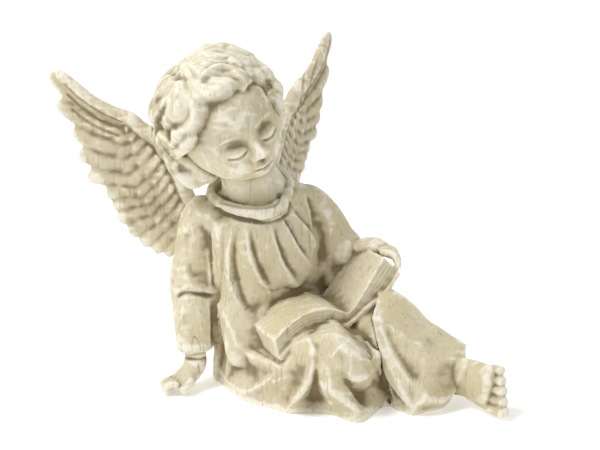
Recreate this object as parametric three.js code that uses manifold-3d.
// A seated child angel reading, cast in one piece of resin. Millimetres, +Z up.
// The figure sits on the ground plane, its face and book towards -Y.
import * as THREE from 'three';
import { LoftGeometry } from 'three/addons/geometries/LoftGeometry.js';
import { mergeVertices } from 'three/addons/utils/BufferGeometryUtils.js';
import Module from 'manifold-3d';

const wasm = await Module();
wasm.setup();

// Driving dimensions and directions
const FLOOR_CUT = 60;
const BODY_YAW = 29;
const CENTRE = [-7.1, 48.8];
const HEAD_AT = [-30.8, 6.1, 181.8];
const SKULL = [32.5, 33.5, 37];
const FACE_SCALE = 1.12;
const FACE_PLACE = [-5, 0, -1.5];
const JAW = 0.12;
const JAW_FROM = -0.18;
const HAIR = [38, 37.5, 37.5];
const HAIR_SHIFT = [-6, -12, 6];
const HAIRLINE = [-4, -5, 7];
const HAIRLINE_SLANT = 38;
const LOCKS_SHIFT = [-7, -6, 3.5];
const COLLAR_BAND = 3.3;
const PLEATS = 13;
const BOOK_AT = [-4, -38, 48];
const BOOK_YAW = 23.3;
const BOOK_HEIGHT = 43.6;
const PAGE_THICKNESS = 10;
const COVER_THICKNESS = 2.6;
const COVER_LIP = 1.8;
const WRIST = 46;
const SHAFT = 0.8;
const NOTCH = 0.2;

const vec = (p) => new THREE.Vector3(p[0], p[1], p[2]);
const rad = THREE.MathUtils.degToRad;
const UP = vec([0, 0, 1]);
const FRONT = vec([Math.sin(rad(BODY_YAW)), -Math.cos(rad(BODY_YAW)), 0]);

// A closed geometry becomes a solid that can be joined and cut. Triangles that have
// shrunk to a line, as at a pole, are left out
function solid(geometry, turned = false) {
  const bare = new THREE.BufferGeometry().copy(geometry);
  bare.deleteAttribute('normal');
  bare.deleteAttribute('uv');
  const merged = mergeVertices(bare, 1e-4);
  const corners = merged.index.array;
  const kept = [];
  for (let i = 0; i < corners.length; i += 3) {
    const [p, q, r] = corners.slice(i, i + 3);
    if (p !== q && q !== r && r !== p) {
      kept.push(p, ...(turned ? [r, q] : [q, r]));
    }
  }
  const made = new wasm.Manifold(new wasm.Mesh({
    numProp: 3,
    vertProperties: new Float32Array(merged.attributes.position.array),
    triVerts: new Uint32Array(kept),
  }));
  if (made.volume() <= 0) {
    throw new Error('a solid is inside out');
  }
  return made;
}

// A skin over rings of points, closed at each end on the ring's middle
function skin(rings) {
  const middle = (ring) => ring.reduce((sum, p) => sum.add(p), new THREE.Vector3()).divideScalar(ring.length);
  const closing = (ring) => ring.map(() => middle(ring));
  return solid(new LoftGeometry([closing(rings[0]), ...rings, closing(rings[rings.length - 1])]));
}

// A smooth curve through stations, each with its width, depth and twist
function limb(stations, options = {}) {
  const { deep = FRONT, rings = 8, sides = 8, cap = 6, square = 2, ribs = null } = options;
  const path = new THREE.CatmullRomCurve3(
    stations.map((s) => vec(s)), false, 'catmullrom', 0.5);
  const sizes = new THREE.CatmullRomCurve3(
    stations.map((s) => vec([s[3], s[4] ?? s[3], s[5] ?? 0])), false, 'catmullrom', 0.5);
  const sections = [];
  for (let i = 0; i < rings; i += 1) {
    const t = (1 - Math.cos(Math.PI * (i + 0.5) / rings)) / 2;
    const centre = path.getPoint(t);
    const tangent = path.getTangent(t);
    const size = sizes.getPoint(t);
    const towards = typeof deep === 'function' ? deep(centre) : deep;
    const across = new THREE.Vector3().crossVectors(towards, tangent).normalize();
    const out = new THREE.Vector3().crossVectors(tangent, across).normalize();
    const taper = Math.sqrt(1 - Math.abs(2 * t - 1) ** cap);
    const ring = [];
    for (let j = 0; j < sides; j += 1) {
      const angle = 2 * Math.PI * (j / sides) + rad(size.z) + Math.PI / 2;
      const push = ribs ? ribs(j, t) : 1;
      const c = Math.cos(angle);
      const s = Math.sin(angle);
      const w = Math.sign(c) * Math.abs(c) ** (2 / square) * size.x * taper * push;
      const d = Math.sign(s) * Math.abs(s) ** (2 / square) * size.y * taper * push;
      ring.push(centre.clone().addScaledVector(across, w).addScaledVector(out, d));
    }
    sections.push(ring);
  }
  return skin(sections);
}

// Head frame: x to the angel's left, y out through the face, z to the crown
const FACE = vec([0.484, -0.869, -0.101]).normalize();
const CROWN = vec([-0.374, -0.310, 0.874]);
CROWN.addScaledVector(FACE, -CROWN.dot(FACE)).normalize();
const EAR = new THREE.Vector3().crossVectors(CROWN, FACE).normalize();
const onHead = (p) => vec(HEAD_AT)
  .addScaledVector(EAR, p[0]).addScaledVector(FACE, p[1]).addScaledVector(CROWN, p[2]);
const HAIR_MIDDLE = onHead(HAIR_SHIFT);
const awayFromHead = (p) => p.clone().sub(HAIR_MIDDLE).normalize();

const bump = (v, middle, spread) => Math.exp(-(((v - middle) / spread) ** 2));

// How far the face stands out at a place x, z on it: a calm child's face on plain proportions
function faceRelief(x, z) {
  const side = Math.abs(x);
  const noseLine = Math.max(0, Math.min(1, (3 - z) / 12));
  let out = 1.0 * bump(side, 0, 18) * bump(z, 15, 10) + 4.6 * THREE.MathUtils.smoothstep(-z, 2, 26);
  out += 3.0 * bump(side, 13.5, 8.5) * bump(z, -14.5, 7.5);
  out -= 4.2 * bump(side, 10.5, 6.5) * bump(z, -1.5, 4.6);
  out += 2.9 * bump(side, 11.0, 4.8) * bump(z, -4.6, 3.6);
  out += (1.0 + 4.4 * noseLine) * bump(side, 0, 3.3) * (z > -10.5 ? bump(z, -10.5, 12) : bump(z, -10.5, 2.4));
  out += 2.2 * bump(side, 0, 3.6) * bump(z, -11.2, 2.6);
  out += 2.1 * bump(side, 4.0, 2.0) * bump(z, -12, 2.1);
  out += 1.8 * bump(side, 0, 8) * bump(z, -20, 5);
  out += 2.4 * bump(side, 0, 4.8) * (bump(z, -18.4, 1.6) + 1.15 * bump(z, -22.2, 2.0));
  out -= 1.5 * bump(side, 0, 6) * bump(z, -20.3, 0.8);
  out += 3.8 * bump(side, 0, 7) * bump(z, -28, 4.5);
  return out;
}

// The head: an egg with fuller cheeks, its front carrying the face on closer columns
function head() {
  const rings = 20;
  const sides = 22;
  const sections = [];
  for (let i = 0; i < rings; i += 1) {
    const u = (i + 0.5) / rings;
    const bunching = Math.sin(2 * Math.PI * (u + 0.117)) - Math.sin(0.234 * Math.PI);
    const rise = Math.cos(Math.PI * (u + 0.085 * bunching));
    const z = -SKULL[2] * rise;
    const girth = Math.sqrt(1 - rise * rise);
    const belowCheeks = Math.max(0, JAW_FROM - z / SKULL[2]) / (1 + JAW_FROM);
    const jaw = 1 - JAW * belowCheeks ** 1.4;
    const ring = [];
    for (let j = 0; j < sides; j += 1) {
      const turn = 2 * Math.PI * j / sides;
      const angle = Math.PI / 2 - turn + 0.68 * Math.sin(turn);
      const forward = Math.sin(angle);
      const x = SKULL[0] * girth * jaw * Math.cos(angle);
      const fade = Math.max(0, forward) ** 0.5;
      const relief = FACE_SCALE * faceRelief(x / FACE_SCALE, z / FACE_SCALE);
      const y = SKULL[1] * girth * forward + relief * fade * Math.min(1, girth * 1.6);
      ring.push(onHead([x + FACE_PLACE[0], y + FACE_PLACE[1], z + FACE_PLACE[2]]));
    }
    sections.push(ring);
  }
  return skin(sections);
}

// Hair: a cap over the skull with locks lying on it
function lock(points, width, bulge) {
  const last = points.length - 1;
  const stations = points.map((p, i) => {
    const swell = 0.55 + 0.45 * Math.sin(Math.PI * Math.min(1, (i + 0.6) / (last + 0.8)));
    const at = p.map((value, axis) => value + LOCKS_SHIFT[axis]);
    return [...onHead(at).toArray(), width * swell, bulge * swell];
  });
  return limb(stations, { deep: awayFromHead, rings: 5, sides: 4, cap: 4 });
}

function cap() {
  const ball = new THREE.SphereGeometry(1, 20, 9);
  ball.rotateX(Math.PI / 2);
  const spots = ball.attributes.position;
  for (let i = 0; i < spots.count; i += 1) {
    const p = new THREE.Vector3().fromBufferAttribute(spots, i);
    const down = Math.acos(THREE.MathUtils.clamp(p.z, -1, 1));
    const around = Math.atan2(p.x, p.y);
    const wave = Math.cos(10 * around + 2.2 * Math.sin(3.2 * down)) * Math.sin(down) ** 2;
    p.multiplyScalar(1 + 0.03 * wave + 0.02 * Math.cos(9 * down + 3 * around));
    const spot = onHead([
      HAIR_SHIFT[0] + HAIR[0] * p.x, HAIR_SHIFT[1] + HAIR[1] * p.y, HAIR_SHIFT[2] + HAIR[2] * p.z]);
    spots.setXYZ(i, spot.x, spot.y, spot.z);
  }
  const front = new THREE.BoxGeometry(120, 80, 120);
  // The hairline: everything in front of this slanted plane is face
  front.translate(0, 40, 0);
  front.rotateX(rad(-HAIRLINE_SLANT));
  front.applyMatrix4(new THREE.Matrix4().makeBasis(EAR, FACE, CROWN).setPosition(onHead(HAIRLINE)));
  return solid(ball, true).subtract(solid(front, true));
}

const FRONT_LOCKS = [
  { at: [[-14, 6, 36], [-10, 15, 35], [-5, 22, 32], [2, 25.5, 29.5], [10, 25, 28], [15, 26.5, 23], [12, 30, 18]],
    w: 4.4, d: 3.6 },
  { at: [[-10, 3, 40], [-3, 12, 39], [5, 15, 38], [13, 15, 35], [19, 18, 29], [21, 22, 23], [17, 26.5, 19]],
    w: 4.6, d: 4.2 },
  { at: [[-8, -2, 41], [1, 6, 41], [11, 7, 39], [21, 8, 33], [27, 11, 27], [33, 10, 20], [38, 5, 15]],
    w: 5, d: 4.6 },
  { at: [[0, -9, 42], [10, -5, 41], [19, -6, 37], [26, -4, 33], [32, -1, 27], [37, 2, 20], [41, 4, 13]],
    w: 5, d: 4.4 },
  { at: [[32, 6, 20], [37, 7, 16], [39, 9, 10], [37, 11, 4], [33, 15, 3]], w: 4.2, d: 4.2 },
  { at: [[34, 6, 9], [38, 9, 5], [40, 11, -1], [36, 14, -5], [32, 16, -1]], w: 4.4, d: 4.4 },
  { at: [[27, 17, 8], [28, 19, 1], [29, 16, -8], [29, 15, -17], [27, 13, -24]], w: 4, d: 4 },
  { at: [[-14, 8, 36], [-15, 17, 32], [-18, 21, 26], [-23, 21, 20], [-29, 17, 17], [-33, 8, 17]], w: 4.8, d: 4.2 },
  { at: [[-16, 2, 38], [-20, 9, 34], [-25, 12, 28], [-31, 9, 22], [-35, 3, 15]], w: 5, d: 4.4 },
  { at: [[-14, -6, 40], [-23, -2, 34], [-29, -4, 28], [-34, -10, 21], [-35, -18, 13]], w: 5, d: 4.6 },
  { at: [[-25, 20, 20], [-29, 20, 14], [-33, 17, 8], [-37, 11, 2], [-39, 4, -7]], w: 5, d: 4 },
  { at: [[-35, 5, 14], [-38, 1, 7], [-39, -2, -2], [-39, -4, -12], [-38, -5, -20]], w: 5.4, d: 4.2 },
  { at: [[-38, -5, -14], [-38, -3, -22], [-36, 0, -29], [-31, 4, -34]], w: 5, d: 4 },
  { at: [[-31, -2, -4], [-30, 0, -16], [-26, 2, -27], [-19, 2, -35]], w: 10, d: 8 },
  { at: [[-35, -16, 12], [-37, -14, 2], [-38, -12, -6], [-40, -9, -12]], w: 5, d: 4.4 },
  { at: [[-31, -22, 4], [-31, -19, -10], [-28, -14, -22], [-20, -9, -31], [-8, -12, -34]], w: 11, d: 8 },
  { at: [[4, -36, 0], [2, -35, -16], [0, -29, -29], [-2, -20, -36]], w: 24, d: 9 },
];

function hair() {
  return [cap(), ...FRONT_LOCKS.map((l) => lock(l.at, l.w, l.d))];
}

// Neck, collar band and the pleated bodice below it
function neck() {
  return limb([[-13, 24, 112, 21, 18], [-17, 21, 130, 21, 19], [-23, 17, 144, 20, 19], [-30, 14, 160, 20, 19]],
    { sides: 10, rings: 6 });
}

function collar() {
  const ring = [[-13, -5, 122], [1, 7, 126], [5, 27, 134], [-4, 42, 140], [-25, 45, 139], [-42, 38, 132],
    [-46, 21, 127], [-33, 3, 123]];
  const path = new THREE.CatmullRomCurve3(ring.map(vec), true, 'catmullrom', 0.5);
  const steps = 16;
  const sides = 5;
  const middle = vec([-20, 21, 128]);
  const rows = [];
  for (let i = 0; i < steps; i += 1) {
    const at = path.getPoint(i / steps);
    const tangent = path.getTangent(i / steps);
    const out = at.clone().sub(middle).projectOnPlane(tangent).normalize();
    const across = new THREE.Vector3().crossVectors(out, tangent).normalize();
    const ringPoints = [];
    for (let j = 0; j < sides; j += 1) {
      const angle = 2 * Math.PI * j / sides;
      ringPoints.push(at.clone()
        .addScaledVector(across, COLLAR_BAND * 1.15 * Math.cos(angle))
        .addScaledVector(out, COLLAR_BAND * Math.sin(angle)));
    }
    rows.push(ringPoints);
  }
  // The band closes on itself, so it is made as two halves that share their end rings
  const half = steps / 2;
  return [skin(rows.slice(0, half + 1)), skin([...rows.slice(half), rows[0]])];
}

function bodice() {
  const stations = [
    [-17, 21, 127, 24, 18], [-14, 20, 118, 34, 21], [-12, 19, 100, 38, 25], [-9, 24, 80, 41, 27],
    [-5, 34, 60, 43, 25], [0, 36, 42, 43, 27], [4, 34, 26, 41, 31],
  ];
  const sides = PLEATS * 2;
  const ribs = (j, t) => (j % 2 ? 1 - 0.11 * Math.min(1, 0.35 + 1.1 * t) : 1.02);
  return limb(stations, { rings: 8, sides, ribs, cap: 12 });
}

function shoulders() {
  return limb([[-52, 22, 108, 12, 13], [-40, 21, 114, 15, 14], [-16, 24, 120, 19, 15], [6, 31, 119, 17, 14],
    [20, 37, 114, 13, 13]], { sides: 8, rings: 8 });
}

// Sleeves, hands and fingers
function rightArm() {
  return [
    limb([[-44, 28, 123, 14, 13], [-54, 27, 110, 13, 13], [-59, 24, 88, 12, 12.5], [-62, 20, 66, 13, 13],
      [-60, 15, 50, 12, 12.5], [-58, 10, 34, 12, 12], [-57, 8, 24, 12.5, 12]], { sides: 8, rings: 10, cap: 12 }),
    limb([[-57, 8, 26, 8, 8], [-58, 5, 16, 8, 7], [-64, 2, 9, 10, 6], [-72, -1, 6, 9, 4.5]],
      { deep: UP, sides: 8, rings: 6 }),
    // The cloth between the sleeve and the side
    limb([[-46, 27, 104, 13, 11], [-47, 26, 80, 15, 13], [-46, 25, 55, 16, 14], [-44, 22, 26, 16, 15]],
      { sides: 8, rings: 5 }),
    ...[0, 1, 2, 3].map((k) => limb([
      [-67, 4 - 4.4 * k, 8, 2.9, 3], [-74, 4.5 - 4.8 * k, 6, 2.8, 2.8], [-81 + 1.2 * k, 4 - 5 * k, 3, 2.4, 2.4]],
    { deep: UP, sides: 5, rings: 3 })),
    limb([[-59, -4, 11, 3.4, 3.4], [-62, -9, 6, 3.2, 3.2], [-66, -12, 3.5, 2.6, 2.6]],
      { deep: UP, sides: 6, rings: 4 }),
  ];
}

function leftArm() {
  return [
    limb([[8, 34, 122, 15, 14], [20, 38, 114, 15, 14], [31, 38, 101, 14, 13], [40, 35, 89, 13, 12.5],
      [52, 30, 88, 11.5, 12]], { sides: 8, rings: 9, cap: 10 }),
    limb([[50, 30, 89, 8, 7], [60, 22, 93, 9, 6], [67, 14, 92, 8, 5]], { deep: UP, sides: 8, rings: 5 }),
    ...[0, 1, 2, 3].map((k) => limb([
      [64, 20 - 4 * k, 93, 2.8, 2.8], [73, 15 - 4.6 * k, 92, 2.7, 2.7], [76, 9 - 4.4 * k, 85, 2.4, 2.4]],
    { deep: UP, sides: 5, rings: 3 })),
  ];
}

// The open book: a page block in two slopes, lying in its cover
const BOOK_ACROSS = vec([Math.cos(rad(BOOK_YAW)), Math.sin(rad(BOOK_YAW)), 0]);
const BOOK_ALONG = vec([-Math.sin(rad(BOOK_YAW)), Math.cos(rad(BOOK_YAW)), 0]);
const PAGE_TOP = [[0, 0], [12, 5.5], [24, 12], [33, 16.8], [41, 16], [47, 12], [52, 17],
  [60, 26.5], [68, 37], [75.8, 45.7]];

function slab(top, thickness, nearEdge, farEdge) {
  const outline = new THREE.Shape();
  outline.moveTo(top[0][0], top[0][1]);
  top.slice(1).forEach((p) => outline.lineTo(p[0], p[1]));
  const under = top.map((p, i) => {
    const a = top[Math.max(0, i - 1)];
    const b = top[Math.min(top.length - 1, i + 1)];
    const length = Math.hypot(b[0] - a[0], b[1] - a[1]);
    return [p[0] + (b[1] - a[1]) / length * thickness, p[1] - (b[0] - a[0]) / length * thickness];
  }).reverse();
  under.forEach((p) => outline.lineTo(p[0], p[1]));
  const geometry = new THREE.ExtrudeGeometry(outline, { depth: farEdge - nearEdge, bevelEnabled: false });
  geometry.translate(0, 0, nearEdge);
  const place = new THREE.Matrix4().makeBasis(BOOK_ACROSS, UP, BOOK_ALONG.clone().negate());
  // The profile's x, y and depth go across, up and along the book
  place.makeBasis(BOOK_ACROSS, UP, BOOK_ALONG);
  geometry.applyMatrix4(place);
  geometry.translate(...BOOK_AT);
  return geometry;
}

function book() {
  const lower = PAGE_TOP.map(([x, z], i) => {
    const slope = i < 4 ? rad(27) : rad(51);
    const blend = i > 3 && i < 6 ? 0 : slope;
    return [x + PAGE_THICKNESS * Math.sin(blend), z - PAGE_THICKNESS * Math.cos(blend)];
  });
  const pages = slab(PAGE_TOP, PAGE_THICKNESS, 0, BOOK_HEIGHT);
  const coverTop = [[lower[0][0] - 2.2, lower[0][1] - 1], ...lower.slice(1, 4), lower[6], ...lower.slice(7, 9),
    [lower[9][0] + 1.5, lower[9][1] + 2]];
  const cover = slab(coverTop, COVER_THICKNESS, -COVER_LIP, BOOK_HEIGHT + COVER_LIP);
  // The book's frame is left-handed, which turns an extrusion inside out
  return [pages, cover].map((g) => solid(g, true));
}

// The skirt: seat, lap and thighs
function seat() {
  return [
    limb([[5, 31, -10, 43, 45], [5, 31, 8, 44, 46], [4, 32, 26, 41, 42], [2, 33, 44, 38, 35]],
      { sides: 16, rings: 6, cap: 16, square: 2.5 }),
    limb([[-26, 26, 74, 20, 12], [-24, 17, 54, 22, 12], [-20, 6, 38, 22, 12], [-14, 0, 18, 22, 12]],
      { sides: 8, rings: 5, cap: 8 }),
    limb([[12, 36, 36, 24, 20], [34, 17, 41, 20, 18], [56, 3, 49, 18, 18], [72, -4, 53, 17, 18]],
      { deep: UP, sides: 12, rings: 7, cap: 4 }),
    limb([[42, -10, -10, 34, 18], [42, -10, 14, 34, 18], [46, -6, 42, 28, 16]], { sides: 12, rings: 5, cap: 12 }),
    limb([[70, -22, -10, 9, 8], [68, -23, 20, 9, 8], [62, -22, 42, 9, 8]], { sides: 6, rings: 4, cap: 10 }),
  ];
}

// The cloth over the left leg, from the knee to the hem, as slices that each run
// from the ground in front, over the shin, to the ground behind
const LEG_SLICES = [
  [[74, -34, -8], [62, -31, 44], [58, -25, 59], [64, -6, 74], [60, 12, 68], [58, 26, -8]],
  [[79, -38, -8], [70, -38, 28], [66, -28, 56], [74, -7, 71], [74, 12, 60], [72, 22, -8]],
  [[83, -43, -8], [82, -46.5, 9], [81, -30, 46], [86, -9, 62], [88, 8, 50], [88, 16, -8]],
  [[91, -32, -8], [91, -48.5, 11], [92, -31, 40], [96, -11, 52], [97, 6, 42], [97, 12, -8]],
  [[100, -24, -8], [105, -40.5, 9], [106, -31, 34], [107, -13, 45], [108, 3, 37], [106, 8, -8]],
  [[106, -16, -8], [113, -33, 16], [117, -29, 31], [119, -17, 38], [118, -3, 33], [112, 2, -8]],
];

function leg() {
  return skin(LEG_SLICES.map((slice) => slice.map(vec).reverse()));
}

// The drape over lap and right knee, as slices from the sleeve to the left leg. Each runs
// down from the lap to the ground, and is closed inside the body
const DRAPE_SLICES = [
  [[-45, 36, 54], [-46, 30, 49], [-47, 33, 31], [-47, 32, 22], [-46, 29, 16], [-48, 30, 0]],
  [[-38, 30, 49], [-40, 20, 48], [-41, 21, 32], [-41, 18, 21], [-41, 12, 9], [-40, 13, 0]],
  [[-31, 18, 45], [-33, 6, 42], [-35, 9, 27], [-34, 4, 19], [-33, -5, 7], [-31, -7, 0]],
  [[-26, 6, 40], [-28, -6, 35], [-28, -3, 23], [-27, -9, 16], [-26, -18, 7], [-22, -21, 0]],
  [[-18, -6, 35], [-21, -15, 30], [-20, -13, 22], [-18, -17, 17], [-16, -25, 11], [-15, -27, 0]],
  [[-10, -16, 34], [-12, -22, 29], [-12, -22, 24], [-11, -25, 21], [-8, -32, 19], [-9, -30, 0]],
  [[0, -28, 37], [0, -37, 32], [0, -37, 29], [1, -38, 25], [0, -39, 20], [-4, -35, 0]],
  [[7, -36, 45], [11, -43, 39], [12, -44, 32], [9, -43, 23], [4, -41, 12], [1, -38, 0]],
  [[16, -43, 51], [21, -50, 46], [20, -52, 35], [17, -52, 25], [10, -49, 13], [5, -41, 0]],
  [[19, -42, 51], [22, -49, 43], [22, -50, 35], [22, -44, 24], [21, -35, 9], [20, -41, 0]],
  [[23, -42, 53], [24, -51, 43], [24, -53, 36], [26, -54, 23], [31, -52, 13], [34, -44, 0]],
  [[28, -43, 54], [29, -54, 41], [29, -56, 35], [32, -59, 22], [39, -58, 14], [43, -54, 0]],
  [[37, -46, 54], [37, -54, 50], [37, -57, 37], [40, -53, 24], [47, -58, 10], [50, -57, 0]],
  [[44, -49, 51], [43, -55, 47], [43, -57, 30], [46, -40, 13], [54, -50, 7], [57, -46, 0]],
  [[51, -50, 45], [51, -53, 41], [52, -54, 29], [54, -38, 15], [60, -38, 7], [63, -33, 0]],
  [[57, -49, 39], [58, -49, 36], [59, -48, 32], [59, -36, 19], [66, -31, 8], [70, -28, 0]],
  [[62, -40, 41], [63, -39, 34], [64, -37, 26], [67, -32, 17], [73, -29, 7], [77, -35, 0]],
];
const LAP_MIDDLE = [10, 24];
const UNDER_BOOK = 24;

function drape() {
  const last = DRAPE_SLICES.length - 1;
  return skin(DRAPE_SLICES.map((slice, k) => {
    const [top] = slice;
    const ground = slice[slice.length - 1];
    const halfway = (p, z) => [(p[0] + LAP_MIDDLE[0]) / 2, (p[1] + LAP_MIDDLE[1]) / 2, z];
    const rise = UNDER_BOOK * THREE.MathUtils.smoothstep(k, last * 0.6, last) - 4;
    return [halfway(ground, -8), halfway(top, top[2] + rise), ...slice, [ground[0], ground[1], -8]].map(vec);
  }));
}

// The scoop over the shin
function scoop() {
  return limb([[62, -46, 56, 6, 8], [76, -48, 42, 12, 14], [92, -50, 30, 13, 16], [108, -46, 24, 8, 12]],
    { deep: FRONT, sides: 10, rings: 7, cap: 3 });
}

function foot() {
  return [
    limb([[104, -20, 20, 9, 13], [118, -30, 20, 8, 13], [127, -39, 18.5, 7.5, 15], [134, -47, 18, 6, 16.5]],
      { deep: UP, sides: 8, rings: 6, cap: 10 }),
    ...[0, 1, 2, 3, 4].map((k) => limb([
      [130, -44 + 1.2 * k, 6 + 6 * k, 3.8, 4 - 0.2 * k], [136, -50 + 1.6 * k, 5.5 + 6.2 * k, 3.8, 4.2 - 0.25 * k],
      [141.5 - 0.6 * k, -55 + 2 * k, 5 + 6.4 * k, 3.6, 4 - 0.25 * k]],
    { deep: UP, sides: 5, rings: 3 })),
  ];
}

// A wing in its own plane: a runs outward, b upward. Each long feather has its tip, its
// middle and the place where it comes out from under the coverts
const LONG_FEATHERS = [
  [[107, 81], [86, 62.5], [60, 50.5]],
  [[101, 64], [84, 53], [57, 45]],
  [[91, 46.5], [78, 38.5], [58, 36]],
  [[87.5, 31], [72, 26], [55, 27]],
  [[82, 16], [66, 15], [52, 17]],
  [[70, 4], [58, 6], [46, 9.5]],
  [[66, -4.5], [54, -1], [41.5, 4]],
  [[62.5, -13.5], [50, -8.5], [39, -2.5]],
  [[55, -23], [45, -16], [35.5, -9]],
  [[46.5, -30], [38, -22.5], [31, -14.5]],
  [[38.5, -34.5], [31.5, -27], [25.5, -19]],
  [[30, -36.5], [24, -30], [19, -23]],
  [[22, -36], [17, -30], [12, -24]],
  [[14, -33], [10, -28], [6, -22]],
];
const ARM = [[56, 54], [44, 49.5], [33, 42.5], [25, 32], [20, 20], [15, 8], [8, -4], [0, -16]];
const LEADING = [[56, 57], [60, 58.5], [78, 66], [94.5, 80], [103.5, 88]];
const LEADING_EDGE = 2.6;
const LEADING_SPAR = 4.6;
// Steps from the arm to a feather's tip: how far along, and half the thickness there.
// Each row of coverts ends in a step down to the next
const COVERT_STEPS = [
  [0, 2.2], [0.08, 5.2], [0.42, 5.6], [0.5, 3.7], [0.98, 4.2], [1.08, 2.3], [2.7, 1.9], [3, 0.9]];

const flatCurve = (points) => new THREE.CatmullRomCurve3(
  points.map(([a, b]) => vec([a, b, 0])), false, 'catmullrom', 0.5);

function wing(root, outward, hand, stretch, gather) {
  const face = new THREE.Vector3().crossVectors(outward, UP).normalize().multiplyScalar(hand);
  const place = ([a, b], n = 0) => vec(root).addScaledVector(outward, a)
    .addScaledVector(UP, WRIST + (b - WRIST) * (b > WRIST ? stretch : gather)).addScaledVector(face, n);
  const armLine = flatCurve(ARM);
  const between = (p, q, t) => [p[0] + (q[0] - p[0]) * t, p[1] + (q[1] - p[1]) * t];
  const last = LONG_FEATHERS.length - 1;
  const columns = [];
  for (let k = -1; k <= 2 * last; k += 1) {
    const shaft = k % 2 === 0;
    const near = LONG_FEATHERS[Math.max(0, Math.floor(k / 2))];
    const next = LONG_FEATHERS[Math.ceil(Math.max(0, k) / 2)];
    const [tip, middle, base] = near.map((p, n) => between(p, next[n], 0.5));
    const start = armLine.getPoint(Math.max(0, k) / (2 * last));
    const end = between(tip, middle, shaft ? 0 : NOTCH);
    const path = flatCurve(k < 0 ? LEADING : [[start.x, start.y], base, middle, end]);
    const rows = COVERT_STEPS.map(([r, n]) => {
      const reach = r > 0 && r < 1.5 && !shaft ? r * 0.92 : r;
      const spot = path.getPoint(reach / 3);
      const thickness = n + (shaft ? SHAFT : -SHAFT) * (r > 0 ? 1 : 0);
      const spar = k < 0 ? LEADING_EDGE : Math.max(LEADING_SPAR, thickness);
      return [[spot.x, spot.y], k > 0 ? thickness : spar];
    });
    const ring = [...rows.map(([p, n]) => place(p, n)), ...rows.reverse().map(([p, n]) => place(p, -n))];
    columns.push(hand > 0 ? ring.reverse() : ring);
  }
  return [skin(columns)];
}

function wings() {
  const right = wing([-50, 50, 113], vec([-0.995, 0.07, 0.07]).normalize(), -1, 1, 1);
  const left = wing([-13, 59, 127.5], vec([0.45, 0.89, 0]).normalize(), 1, 1.22, 0.78);
  const roots = [
    limb([[-20, 30, 112, 16, 14], [-40, 44, 110, 9, 16], [-60, 51, 112, 5, 16]], { deep: UP, sides: 8, rings: 5 }),
    limb([[-6, 34, 114, 14, 14], [-4, 52, 118, 8, 16], [-4, 68, 122, 5, 16]], { deep: UP, sides: 8, rings: 5 }),
  ];
  return [...right, ...left, ...roots];
}

const below = new THREE.BoxGeometry(500, 500, FLOOR_CUT);
below.translate(0, 0, -FLOOR_CUT / 2);

const { union } = wasm.Manifold;
const skirt = union([...seat(), drape(), leg().subtract(scoop())]);
const pieces = [head(), ...hair(), neck(), ...collar(), bodice(), shoulders(), ...rightArm(), ...leftArm(),
  ...book(), skirt, ...foot(), ...wings()];
// The outer skin is kept, and pockets sealed inside the casting are left out
const whole = union(pieces).subtract(solid(below)).decompose()
  .reduce((most, shell) => (shell.volume() > most.volume() ? shell : most));
const mesh = whole.getMesh();
const geometry = new THREE.BufferGeometry();
geometry.setAttribute('position', new THREE.BufferAttribute(mesh.vertProperties, 3));
geometry.setIndex(new THREE.BufferAttribute(mesh.triVerts, 1));
geometry.computeVertexNormals();

const figure = new THREE.Mesh(geometry, new THREE.MeshStandardMaterial({
  color: '#d9cfae', roughness: 0.62, metalness: 0,
}));
figure.name = 'angel_figurine';
figure.position.set(-CENTRE[0], -CENTRE[1], 0);

const group = new THREE.Group();
group.add(figure);
export default group;
